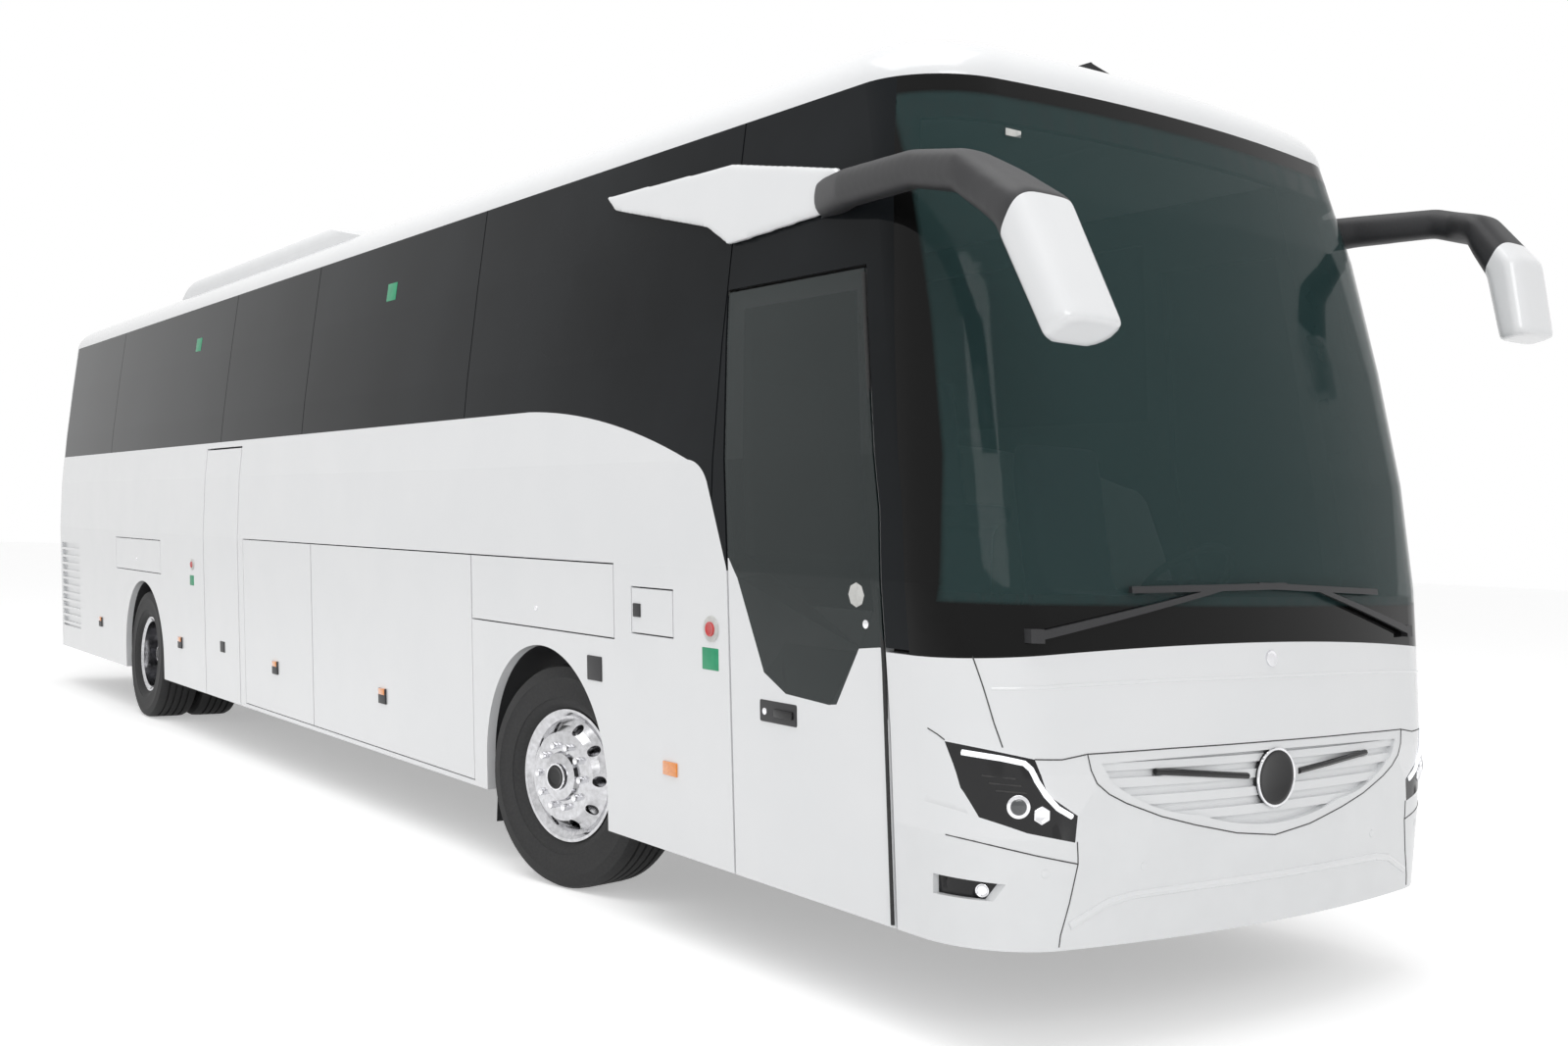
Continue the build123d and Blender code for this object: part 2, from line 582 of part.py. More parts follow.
beam = block(-KINGPIN_X, KINGPIN_X, FRONT_AXLE - 45, FRONT_AXLE + 45, HUB_Z - 45, HUB_Z + 45)
pads = [block(side * RAIL_X - RAIL_W / 2, side * RAIL_X + RAIL_W / 2, FRONT_AXLE - 90, FRONT_AXLE + 90,
              HUB_Z + 40, RAIL_Z) for side in (-1, 1)]
beam = beam + pads[0] + pads[1]
for side in (-1, 1):
    beam = beam - block(side * KINGPIN_X - BOSS_R, side * KINGPIN_X + BOSS_R, FRONT_AXLE - 90,
                        FRONT_AXLE + 90, 0, HUB_Z * 2)
    neck = block(*sorted((side * (KINGPIN_X - BOSS_R - 5), side * KINGPIN_X)), FRONT_AXLE - 45,
                 FRONT_AXLE + 45, HUB_Z - 45, HUB_Z + 45)
    beam = beam + neck + rod(side * KINGPIN_X, FRONT_AXLE, HUB_Z - BOSS_H / 2, HUB_Z + BOSS_H / 2, BOSS_R)
    beam = beam - rod(side * KINGPIN_X, FRONT_AXLE, 0, FAR, KINGPIN_R + PLAY)
save("front_axle", beam)

SPINDLE_END = 1079.0
PLATE_X = 951.0


def steered(shape, side):
    """Turn a straight piece about its kingpin to where the coach is steered now."""
    pivot = Pos(side * KINGPIN_X, FRONT_AXLE, 0)
    return pivot * Rot(0, 0, STEER_NOW) * pivot.inverse() * shape


def knuckle(side):
    low, high = HUB_Z - BOSS_H / 2 - SEAT - EAR_H, HUB_Z + BOSS_H / 2 + SEAT
    body = rod(side * KINGPIN_X, FRONT_AXLE, low, high + EAR_H, KINGPIN_R)
    for z in (low, high):
        body = body + rod(side * KINGPIN_X, FRONT_AXLE, z, z + EAR_H, BOSS_R)
        body = body + block(*sorted((side * KINGPIN_X, side * PLATE_X)), FRONT_AXLE - BOSS_R,
                            FRONT_AXLE + BOSS_R, z, z + EAR_H)
    body = body + block(*sorted((side * PLATE_X, side * (PLATE_X + 20))), FRONT_AXLE - BOSS_R,
                        FRONT_AXLE + BOSS_R, low, high + EAR_H)
    stub = Pos(side * (PLATE_X + SPINDLE_END) / 2, FRONT_AXLE, HUB_Z) * Rot(0, 90, 0) * Cylinder(
        SPINDLE_R, SPINDLE_END - PLATE_X)
    return body + stub


BORE_R = SPINDLE_R + PLAY
TYRE = [(-107, BEAD_R), (107, BEAD_R), (107, 301), (140, 335, 149, 395), (149, 440, 143, 475),
        (139, 498, 118, TYRE_R), (-118, TYRE_R), (-139, 498, -143, 475), (-149, 440, -149, 395),
        (-140, 335, -107, 301)]
FRONT_RIM = [(176, 0), (176, 60), (168, 104), (150, 112), (150, 140), (146, 200), (120, 226), (98, 255),
             (104, 268), (117, 285), (117, FLANGE_R), (108, FLANGE_R), (108, BEAD_R), (-108, BEAD_R),
             (-108, FLANGE_R), (-117, FLANGE_R), (-117, 280), (-100, 262), (78, 262), (84, 250),
             (106, 220), (130, 195), (130, 120), (10, 120), (10, 200), (-38, 200), (-38, BORE_R),
             (60, BORE_R), (60, 0)]
T, H = TWIN_PITCH / 2, BEAD_W / 2
REAR_RIM = [(T + 44, 0), (T + 44, 90), (T + 34, 112), (32, 128), (32, 255), (45, 262), (T + 102, 262),
            (T + 117, 285), (T + 117, FLANGE_R), (T + H, FLANGE_R), (T + H, BEAD_R), (T - H, BEAD_R),
            (T - H, FLANGE_R), (T - 117, FLANGE_R), (T - 117, BEAD_R), (117 - T, BEAD_R),
            (117 - T, FLANGE_R), (H - T, FLANGE_R), (H - T, BEAD_R), (-T - H, BEAD_R),
            (-T - H, FLANGE_R), (-T - 117, FLANGE_R), (-T - 117, 285), (-T - 102, 262), (-5, 262),
            (-5, 205), (-200, 205), (-200, BORE_R), (100, BORE_R), (100, 0)]


def hand_holes(u0, u1, r, hole, side, x, station):
    holes = []
    for i in range(10):
        a = 2 * pi * i / 10
        at = Pos(side * (x + (u0 + u1) / 2), station + r * cos(a), HUB_Z + r * sin(a))
        holes.append(at * Rot(0, 90, 0) * Cylinder(hole, u1 - u0))
    return holes


for side, name in ((-1, "right"), (1, "left")):
    save("knuckle_" + name, steered(knuckle(side), side))
    rim = spun(FRONT_RIM, FRONT_TYRE_X, FRONT_AXLE, side)
    for hole in hand_holes(60, 170, 222, 24, side, FRONT_TYRE_X, FRONT_AXLE):
        rim = rim - hole
    save("front_rim_" + name, steered(rim, side))
    save("front_tyre_" + name, steered(spun(TYRE, FRONT_TYRE_X, FRONT_AXLE, side), side))
    rim = spun(REAR_RIM, TWIN_X, REAR_AXLE, side)
    for hole in hand_holes(0, 50, 218, 26, side, TWIN_X, REAR_AXLE):
        rim = rim - hole
    save("rear_rim_" + name, rim)
    save("rear_tyres_" + name, [spun(TYRE, TWIN_X + row * T, REAR_AXLE, side) for row in (-1, 1)])

TUBE_R = 75.0
BANJO_R = 205.0
half_axle = [(0, 0), (0, BANJO_R), (90, BANJO_R), (200, 120), (240, TUBE_R), (650, TUBE_R), (660, SPINDLE_R),
             (998, SPINDLE_R), (998, 0)]
axle = spun(half_axle, 0, REAR_AXLE, 1) + spun(half_axle, 0, REAR_AXLE, -1)
for side in (-1, 1):
    axle = axle + block(side * RAIL_X - RAIL_W / 2, side * RAIL_X + RAIL_W / 2, REAR_AXLE - 60,
                        REAR_AXLE + 60, HUB_Z + 40, RAIL_Z)
save("rear_axle", axle)

# Wheel arch liners and mud flaps
liners = []
for centre, x_in in LINER_X.items():
    for side in (-1, 1):
        shell = side_prism(arch(centre, LINER_R), side, x_in) - side_prism(arch(centre, LINER_R - LINER),
                                                                           side, x_in + LINER)
        shell = shell & inner & block(-FAR, FAR, -FAR, 5 * FAR, LINER_FOOT, 2000)
        station = FRONT_AXLE if centre == FRONT_ARCH else REAR_AXLE
        shell = shell - block(-700, 700, station - 110, station + 110, 0, RAIL_Z + 30)
        flap = block(*sorted((side * 850, side * 1150)), centre + LINER_R - LINER, centre + LINER_R, 190,
                     LINER_FOOT)
        liners.append(shell + flap)
save("wheel_arches", liners)

# Inside: seats, dashboard, steering wheel
SEAT_PITCH = 830.0
SEAT_ROWS = 11
FLOOR = DECK_Z + DECK_T
SEAT_FORM = [(120, 0), (200, 0), (200, 330), (430, 350), (560, 1010), (545, 1120), (470, 1130), (440, 1020),
             (330, 480), (-10, 470), (-20, 380), (120, 350)]


def seat(station, x0, x1, floor):
    form = [(station + u, floor + v) for u, v in SEAT_FORM]
    face = loop(form, lambda u, v: (x0, u, v))
    return extrude(face, amount=x1 - x0, dir=(1, 0, 0))


seats = []
for row in range(SEAT_ROWS):
    station = 2300 + row * SEAT_PITCH
    for x0 in (-1120, 260):
        if x0 < 0 and MID_WELL[0] - 600 < station < MID_WELL[1]:
            continue
        seats.append(seat(station, x0, x0 + 860, FLOOR))
save("seats", seats, seat(1000, 360, 860, CAB_Z + DECK_T))
DASH = [(140, CAB_Z + DECK_T), (300, CAB_Z + DECK_T), (330, 1150), (560, 1200), (560, 1400), (300, 1440),
        (140, 1330)]
dash = extrude(loop(DASH, lambda u, v: (-300, u, v)), amount=1400, dir=(1, 0, 0))
WHEEL_AT = (610, 760, 1470)
COLUMN_TILT = 45
COLUMN_R = 22.0
COLUMN = 340.0
column = Pos(0, 0, -COLUMN / 2) * Cylinder(COLUMN_R, COLUMN)
hoop = Torus(225, 16) + Cylinder(50, 30) + Box(440, 30, 16) + column
tilted = Pos(*WHEEL_AT) * Rot(-COLUMN_TILT, 0, 0)
save("steering_wheel", tilted * hoop)
save("dashboard", (dash & inner) - tilted * Pos(0, 0, -FAR / 2) * Cylinder(COLUMN_R + PLAY, FAR))

# Mirrors: a horn lofted through rounded sections, and a fairing on the side
fairing = [(730, 2763), (810, 2910), (1480, 3040), (2470, 3065), (2380, 2990), (1620, 2810), (1460, 2720)]
outboard = envelope(-32) & side_prism(fairing, -1)
fairing_right = outboard - outer
save("mirror_right", HORNS[0] - outer - fairing_right)
save("mirror_left", HORNS[1] - outer)
save("mirror_fairing", fairing_right)

# Wipers: two arms with blades, on spindles at the screen's foot
WIPERS = [(-1040, -250), (930, 260)]
WIPER_LIFT = 14.0
glass_out, glass_far = envelope(-WIPER_LIFT), envelope(-WIPER_LIFT - 14)
arms = []
for root, tip in WIPERS:
    ahead = 1 if tip > root else -1
    bar = front_prism([(root, 1318), (root, 1346), (tip, 1500), (tip, 1484)], -FAR / 2, 400)
    blade = front_prism([(tip - ahead * 420, 1470), (tip - ahead * 420, 1492), (tip + ahead * 330, 1512),
                         (tip + ahead * 330, 1490)], -FAR / 2, 400)
    bar_part = (glass_far - glass_out) & (bar + blade)
    boss = front_prism([(root - 22, 1310), (root + 22, 1310), (root + 22, 1354), (root - 22, 1354)],
                       -FAR / 2, 400) & (glass_far - outer)
    arms.append(bar_part + boss)
save("wipers", arms)

# Marker lamps along the sides: station, height
MARKERS = [(1762, 681), (4743, 670), (6543, 670), (8730, 670), (11243, 670)]
lamp_shell = envelope(-10) - outer
markers = []
for side in (-1, 1):
    for station, z in MARKERS:
        markers.append(lamp_shell & side_prism(rect(station - 50, station + 50, z - 42, z + 42), side))
save("marker_lamps", markers)
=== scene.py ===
import json
import math
import bpy
from mathutils import Matrix, Vector


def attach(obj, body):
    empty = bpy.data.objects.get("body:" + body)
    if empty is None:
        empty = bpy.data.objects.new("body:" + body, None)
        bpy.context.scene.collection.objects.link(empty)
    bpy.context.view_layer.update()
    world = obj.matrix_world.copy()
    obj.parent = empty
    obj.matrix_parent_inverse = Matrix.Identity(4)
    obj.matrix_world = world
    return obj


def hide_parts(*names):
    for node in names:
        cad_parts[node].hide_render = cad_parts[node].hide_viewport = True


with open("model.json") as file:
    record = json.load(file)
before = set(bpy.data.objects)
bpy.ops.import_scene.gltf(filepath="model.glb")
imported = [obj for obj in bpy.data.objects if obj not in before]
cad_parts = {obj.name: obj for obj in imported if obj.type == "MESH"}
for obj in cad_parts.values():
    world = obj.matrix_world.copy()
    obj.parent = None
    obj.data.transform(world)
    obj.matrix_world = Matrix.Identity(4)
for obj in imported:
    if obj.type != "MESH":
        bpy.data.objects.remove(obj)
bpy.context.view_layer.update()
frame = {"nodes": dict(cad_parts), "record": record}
nodes = frame["nodes"]

# Stations along the coach count from its nose; the frame's Y counts from its middle.
NOSE_TO_MIDDLE = 6.23693


def along(station):
    return station - NOSE_TO_MIDDLE


# Camera, set up as the photograph was taken from the right front corner
EYE = Vector((-4.575, -9.786, 1.62))
LOOK_YAW = math.radians(36.02)
LOOK_PITCH = 0.008
LOOK_ROLL = 0.032
SENSOR_MM, LENS_MM, VIEW_END = 36, 36.24, 200
ahead = Vector((math.sin(LOOK_YAW) * math.cos(LOOK_PITCH), math.cos(LOOK_YAW) * math.cos(LOOK_PITCH),
                math.sin(LOOK_PITCH)))
right_level = Vector((math.cos(LOOK_YAW), -math.sin(LOOK_YAW), 0))
up_level = right_level.cross(ahead)
right_hand = math.cos(LOOK_ROLL) * right_level + math.sin(LOOK_ROLL) * up_level
overhead = -math.sin(LOOK_ROLL) * right_level + math.cos(LOOK_ROLL) * up_level
camera_data = bpy.data.cameras.new("coach_view")
camera_data.sensor_width = SENSOR_MM
camera_data.lens = LENS_MM
camera_data.clip_end = VIEW_END
camera = bpy.data.objects.new("coach_view", camera_data)
bpy.context.scene.collection.objects.link(camera)
camera_turn = Matrix((right_hand, overhead, -ahead)).transposed().to_4x4()
camera.matrix_world = Matrix.Translation(EYE) @ camera_turn
bpy.context.scene.camera = camera
bpy.context.scene.view_settings.view_transform = "Standard"


def finish_of(name, colour, roughness, metal=0.0, coat=0.0, index=1.5):
    """A new node material and its shader."""
    made = bpy.data.materials.new(name)
    made.use_nodes = True
    shader = made.node_tree.nodes["Principled BSDF"]
    shader.inputs["Base Color"].default_value = (*colour, 1)
    shader.inputs["Roughness"].default_value = roughness
    shader.inputs["Metallic"].default_value = metal
    shader.inputs["Coat Weight"].default_value = coat
    shader.inputs["IOR"].default_value = index
    return made, shader


def speckle(made, shader, scale, dark, light, bump, rough=None):
    """Grain on the piece's own coordinates: two colours, a fine relief and uneven gloss."""
    tree = made.node_tree
    place = tree.nodes.new("ShaderNodeTexCoord")
    noise = tree.nodes.new("ShaderNodeTexNoise")
    noise.inputs["Scale"].default_value = scale
    noise.inputs["Detail"].default_value = 4
    ramp = tree.nodes.new("ShaderNodeValToRGB")
    ramp.color_ramp.elements[0].position = 0.3
    ramp.color_ramp.elements[0].color = (*dark, 1)
    ramp.color_ramp.elements[1].position = 0.7
    ramp.color_ramp.elements[1].color = (*light, 1)
    relief = tree.nodes.new("ShaderNodeBump")
    relief.inputs["Strength"].default_value = bump
    relief.inputs["Distance"].default_value = 0.002
    tree.links.new(place.outputs["Object"], noise.inputs["Vector"])
    tree.links.new(noise.outputs["Fac"], ramp.inputs["Fac"])
    tree.links.new(ramp.outputs["Color"], shader.inputs["Base Color"])
    tree.links.new(noise.outputs["Fac"], relief.inputs["Height"])
    tree.links.new(relief.outputs["Normal"], shader.inputs["Normal"])
    if rough:
        spread = tree.nodes.new("ShaderNodeMapRange")
        spread.inputs["To Min"].default_value = rough[0]
        spread.inputs["To Max"].default_value = rough[1]
        tree.links.new(noise.outputs["Fac"], spread.inputs["Value"])
        tree.links.new(spread.outputs["Result"], shader.inputs["Roughness"])
    return made


made, shader = finish_of("coach_white", (0.8, 0.81, 0.82), 0.22, coat=0.6)
white_paint = speckle(made, shader, 2.2, (0.79, 0.8, 0.812), (0.815, 0.822, 0.832), 0.02, (0.2, 0.26))
made, shader = finish_of("grey_white_plastic", (0.74, 0.75, 0.76), 0.3, coat=0.3)
white_plastic = speckle(made, shader, 6, (0.77, 0.78, 0.79), (0.8, 0.81, 0.82), 0.03, (0.26, 0.34))
made, shader = finish_of("privacy_glass", (0.008, 0.009, 0.01), 0.04, index=1.2)
shader.inputs["Specular IOR Level"].default_value = 0.3
privacy_glass = speckle(made, shader, 0.9, (0.006, 0.007, 0.008), (0.014, 0.016, 0.018), 0.0, (0.03, 0.07))
made, shader = finish_of("moulded_black", (0.02, 0.02, 0.022), 0.5)
moulded_black = speckle(made, shader, 260, (0.014, 0.014, 0.016), (0.026, 0.026, 0.028), 0.25, (0.42, 0.6))
made, shader = finish_of("gloss_black", (0.008, 0.008, 0.009), 0.12, index=1.4)
gloss_black = speckle(made, shader, 4, (0.006, 0.006, 0.007), (0.012, 0.012, 0.013), 0.0, (0.1, 0.16))
made, shader = finish_of("chassis_black", (0.03, 0.03, 0.033), 0.6)
chassis_black = speckle(made, shader, 14, (0.018, 0.018, 0.02), (0.045, 0.043, 0.04), 0.3, (0.5, 0.75))
made, shader = finish_of("rubber", (0.02, 0.02, 0.021), 0.75)
rubber = speckle(made, shader, 90, (0.014, 0.014, 0.015), (0.03, 0.03, 0.03), 0.3, (0.65, 0.85))
made, shader = finish_of("polished_alloy", (0.72, 0.72, 0.74), 0.16, metal=1.0)
polished_alloy = speckle(made, shader, 40, (0.46, 0.46, 0.47), (0.62, 0.62, 0.64), 0.05, (0.1, 0.24))
made, shader = finish_of("grey_casting", (0.09, 0.09, 0.095), 0.55, metal=0.6)
grey_casting = speckle(made, shader, 60, (0.05, 0.05, 0.052), (0.13, 0.12, 0.115), 0.4, (0.45, 0.7))
made, shader = finish_of("seat_cloth", (0.08, 0.09, 0.11), 0.9)
shader.inputs["Sheen Weight"].default_value = 0.3
seat_cloth = speckle(made, shader, 420, (0.05, 0.06, 0.08), (0.12, 0.13, 0.16), 0.5, (0.85, 0.95))
made, shader = finish_of("floor_sheet", (0.14, 0.14, 0.15), 0.6)
floor_sheet = speckle(made, shader, 300, (0.09, 0.09, 0.1), (0.2, 0.2, 0.21), 0.15, (0.5, 0.7))
made, shader = finish_of("red_lens", (0.4, 0.01, 0.01), 0.12, coat=1.0)
red_lens = speckle(made, shader, 60, (0.3, 0.008, 0.008), (0.5, 0.02, 0.015), 0.1)
made, shader = finish_of("amber_lens", (0.85, 0.25, 0.02), 0.15, coat=1.0)
amber_lens = speckle(made, shader, 120, (0.75, 0.2, 0.01), (0.95, 0.33, 0.03), 0.15)


# The windscreen's clear field: where it fades to the border at its foot, its head and its sides
SCREEN_FOOT, SCREEN_HEAD, SCREEN_SIDE = (1.44, 1.425), (3.12, 3.14), (1.312, 1.322)
SCREEN_LEAN = 0.05


def screen_glass():
    """The windscreen: faint green glass, with the fired black border printed round its edge."""
    made, shader = finish_of("screen_glass", (0.02, 0.04, 0.04), 0.03, index=1.25)
    tree = made.node_tree
    place = tree.nodes.new("ShaderNodeTexCoord")
    split = tree.nodes.new("ShaderNodeSeparateXYZ")
    tree.links.new(place.outputs["Object"], split.inputs["Vector"])

    def edge(source, low, high):
        step = tree.nodes.new("ShaderNodeMapRange")
        step.inputs["From Min"].default_value = low
        step.inputs["From Max"].default_value = high
        tree.links.new(source, step.inputs["Value"])
        return step.outputs["Result"]

    def most(first, second):
        pick = tree.nodes.new("ShaderNodeMath")
        pick.operation = "MAXIMUM"
        tree.links.new(first, pick.inputs[0])
        tree.links.new(second, pick.inputs[1])
        return pick.outputs["Value"]

    width = tree.nodes.new("ShaderNodeMath")
    width.operation = "ABSOLUTE"
    tree.links.new(split.outputs["X"], width.inputs[0])
    lean = tree.nodes.new("ShaderNodeMath")
    lean.operation = "MULTIPLY_ADD"
    lean.inputs[1].default_value = SCREEN_LEAN
    tree.links.new(split.outputs["Z"], lean.inputs[0])
    tree.links.new(width.outputs["Value"], lean.inputs[2])
    border = most(edge(split.outputs["Z"], *SCREEN_FOOT), edge(split.outputs["Z"], *SCREEN_HEAD))
    border = most(border, edge(lean.outputs["Value"], *SCREEN_SIDE))
    tint = tree.nodes.new("ShaderNodeMix")
    tint.data_type = "RGBA"
    tint.inputs[6].default_value = (0.03, 0.062, 0.062, 1)
    tint.inputs[7].default_value = (0.004, 0.004, 0.004, 1)
    tree.links.new(border, tint.inputs[0])
    tree.links.new(tint.outputs[2], shader.inputs["Base Color"])
    tree.links.new(edge(border, -1.1, 1), shader.inputs["Alpha"])
    return made


windscreen_glass = screen_glass()
made, shader = finish_of("door_pane", (0.012, 0.02, 0.02), 0.04, index=1.35)
door_pane = speckle(made, shader, 0.8, (0.01, 0.018, 0.018), (0.018, 0.026, 0.026), 0.0, (0.03, 0.06))
shader.inputs["Alpha"].default_value = 0.86

FINISH = {
    white_paint: ("body_side_right", "body_side_left", "front_panel", "front_corners", "rear_panel", "roof",
                  "roof_front_cap", "front_door", "mid_door", "luggage_flap_right_front",
                  "luggage_flap_right_rear", "luggage_flap_left_front", "luggage_flap_left_rear",
                  "service_flap_front", "service_flap_rear", "fuel_flap", "engine_hatch", "louvres"),
    white_plastic: ("grille", "front_bumper", "bumper_corners", "rear_bumper", "climate_unit",
                    "mirror_fairing"),
    privacy_glass: ("side_glass", "rear_window"),
    windscreen_glass: ("windshield",),
    door_pane: ("front_door_glass",),
    gloss_black: ("front_frame", "front_lamps", "mirror_right", "mirror_left"),
    moulded_black: ("wipers", "dashboard", "wheel_arches", "steering_wheel", "marker_lamps"),
    chassis_black: ("underframe", "window_frames", "front_door_arm", "mid_door_arm"),
    rubber: ("front_tyre_right", "front_tyre_left", "rear_tyres_right", "rear_tyres_left"),
    polished_alloy: ("front_rim_right", "front_rim_left", "rear_rim_right", "rear_rim_left"),
    grey_casting: ("engine_block", "front_axle", "rear_axle", "knuckle_right", "knuckle_left"),
    seat_cloth: ("seats",),
    floor_sheet: ("cabin_floor", "entrance_steps"),
    red_lens: ("tail_lamps",),
}
for finish, names in FINISH.items():
    for name in names:
        data = nodes[name].data
        data.materials.clear()
        data.materials.append(finish)

WELD = 0.0001


def choose(piece):
    """Selects one piece alone and makes it active."""
    bpy.ops.object.select_all(action="DESELECT")
    piece.select_set(True)
    bpy.context.view_layer.objects.active = piece


def apply_modifier(piece, kind, **settings):
    """Adds one modifier to a piece and applies it."""
    choose(piece)
    added = piece.modifiers.new("work", kind)
    for setting, value in settings.items():
        setattr(added, setting, value)
    bpy.ops.object.modifier_apply(modifier="work")


def settle(piece, name, body, finish, angle=35):
    """Fixes a shaped piece's place in its mesh, smooths it and hangs it on its body."""
    choose(piece)
    piece.name = name
    bpy.ops.object.transform_apply(location=True, rotation=True, scale=True)
    bpy.ops.object.shade_smooth_by_angle(angle=math.radians(angle))
    piece.data.materials.clear()
    piece.data.materials.append(finish)
    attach(piece, body)
    return piece


def pad(name, low, high, body, finish, edge=0.004):
    """A block with rounded edges, between two corners."""
    bpy.ops.object.select_all(action="DESELECT")
    low, high = Vector(low), Vector(high)
    bpy.ops.mesh.primitive_cube_add(size=1, location=(low + high) / 2)
    piece = bpy.context.object
    piece.scale = high - low
    choose(piece)
    bpy.ops.object.transform_apply(location=True, rotation=True, scale=True)
    apply_modifier(piece, "BEVEL", width=edge, segments=3)
    return settle(piece, name, body, finish)


def turned(name, centre, facing, radius, depth, body, finish, edge=0.003, sides=40, dish=0.0):
    """A round boss along a direction, its rim rounded, its outer face dished if asked."""
    bpy.ops.object.select_all(action="DESELECT")
    turn = Vector(facing).to_track_quat("Z", "Y").to_euler()
    bpy.ops.mesh.primitive_cylinder_add(vertices=sides, radius=radius, depth=depth, location=centre,
                                        rotation=turn)
    piece = bpy.context.object
    choose(piece)
    if dish:
        top = max(piece.data.polygons, key=lambda face: face.normal.z)
        for face in piece.data.polygons:
            face.select = face.index == top.index
        for vertex in piece.data.vertices:
            vertex.select = vertex.index in top.vertices
        bpy.ops.object.mode_set(mode="EDIT")
        bpy.ops.mesh.select_mode(type="FACE")
        bpy.ops.mesh.inset(thickness=radius * 0.18, depth=0)
        bpy.ops.mesh.inset(thickness=radius * 0.12, depth=-dish)
        bpy.ops.object.mode_set(mode="OBJECT")
    apply_modifier(piece, "BEVEL", width=edge, segments=2)
    return settle(piece, name, body, finish)


def ring(name, centre, facing, radius, thick, body, finish):
    """A round bead laid in a circle."""
    bpy.ops.object.select_all(action="DESELECT")
    turn = Vector(facing).to_track_quat("Z", "Y").to_euler()
    bpy.ops.mesh.primitive_torus_add(major_radius=radius, minor_radius=thick, major_segments=48,
                                     minor_segments=10, location=centre, rotation=turn)
    return settle(bpy.context.object, name, body, finish)


def bead(name, points, thick, body, finish):
    """A round strip that follows a line of points."""
    line = bpy.data.curves.new(name, "CURVE")
    line.dimensions = "3D"
    line.bevel_depth = thick
    line.bevel_resolution = 2
    line.use_fill_caps = True
    run = line.splines.new("POLY")
    run.points.add(len(points) - 1)
    for spot, point in zip(run.points, points):
        spot.co = (*point, 1)
    piece = bpy.data.objects.new(name, line)
    bpy.context.scene.collection.objects.link(piece)
    choose(piece)
    bpy.ops.object.convert(target="MESH")
    return settle(bpy.context.object, name, body, finish)


def meets(start, way, names):
    """The first spot where a straight line meets the named nodes, and the way the skin faces there."""
    found = None
    for name in names:
        hit, spot, facing, _ = nodes[name].ray_cast(Vector(start), Vector(way))
        if hit and (found is None or (spot - Vector(start)).length < (found[0] - Vector(start)).length):
            found = (spot, facing)
    return found


FRONT_SKIN = ("front_lamps", "front_corners", "bumper_corners", "front_panel", "grille", "front_bumper",
              "windshield", "front_frame")


def on_front(x, height, lift=0.0):
    """A spot on the nose, and the way the skin faces there."""
    spot, facing = meets((x, -9, height), (0, 1, 0), FRONT_SKIN)
    return spot + facing * lift, facing


def on_tail(x, height, lift=0.0):
    spot, facing = meets((x, 9, height), (0, -1, 0), ("rear_panel", "tail_lamps", "engine_hatch",
                                                      "rear_bumper", "rear_window"))
    return spot + facing * lift, facing


def between(points, step):
    """The same line with more points, no farther apart than a step."""
    result = [points[0]]
    for first, last in zip(points, points[1:]):
        gap = math.dist(first, last)
        count = max(1, math.ceil(gap / step))
        for i in range(1, count + 1):
            result.append(tuple(a + (b - a) * i / count for a, b in zip(first, last)))
    return result


made, shader = finish_of("chrome", (0.8, 0.8, 0.82), 0.06, metal=1.0)
chrome = speckle(made, shader, 30, (0.74, 0.74, 0.76), (0.84, 0.84, 0.86), 0.0, (0.04, 0.12))
made, shader = finish_of("lamp_strip", (0.95, 0.96, 1.0), 0.2)
shader.inputs["Emission Color"].default_value = (0.95, 0.97, 1.0, 1)
shader.inputs["Emission Strength"].default_value = 0.6
lamp_strip = speckle(made, shader, 200, (0.9, 0.92, 0.96), (0.97, 0.98, 1.0), 0.1)
made, shader = finish_of("lamp_lens", (0.05, 0.055, 0.06), 0.02, coat=1.0)
lamp_lens = speckle(made, shader, 10, (0.03, 0.035, 0.04), (0.08, 0.085, 0.09), 0.0)
made, shader = finish_of("exit_green", (0.0, 0.3, 0.13), 0.4)
exit_green = speckle(made, shader, 20, (0.0, 0.27, 0.12), (0.01, 0.34, 0.15), 0.02)
made, shader = finish_of("button_red", (0.6, 0.02, 0.02), 0.3, coat=0.5)
button_red = speckle(made, shader, 30, (0.5, 0.015, 0.015), (0.65, 0.03, 0.03), 0.05)
made, shader = finish_of("pale_plate", (0.6, 0.6, 0.58), 0.45)
pale_plate = speckle(made, shader, 50, (0.55, 0.55, 0.53), (0.66, 0.66, 0.64), 0.05)

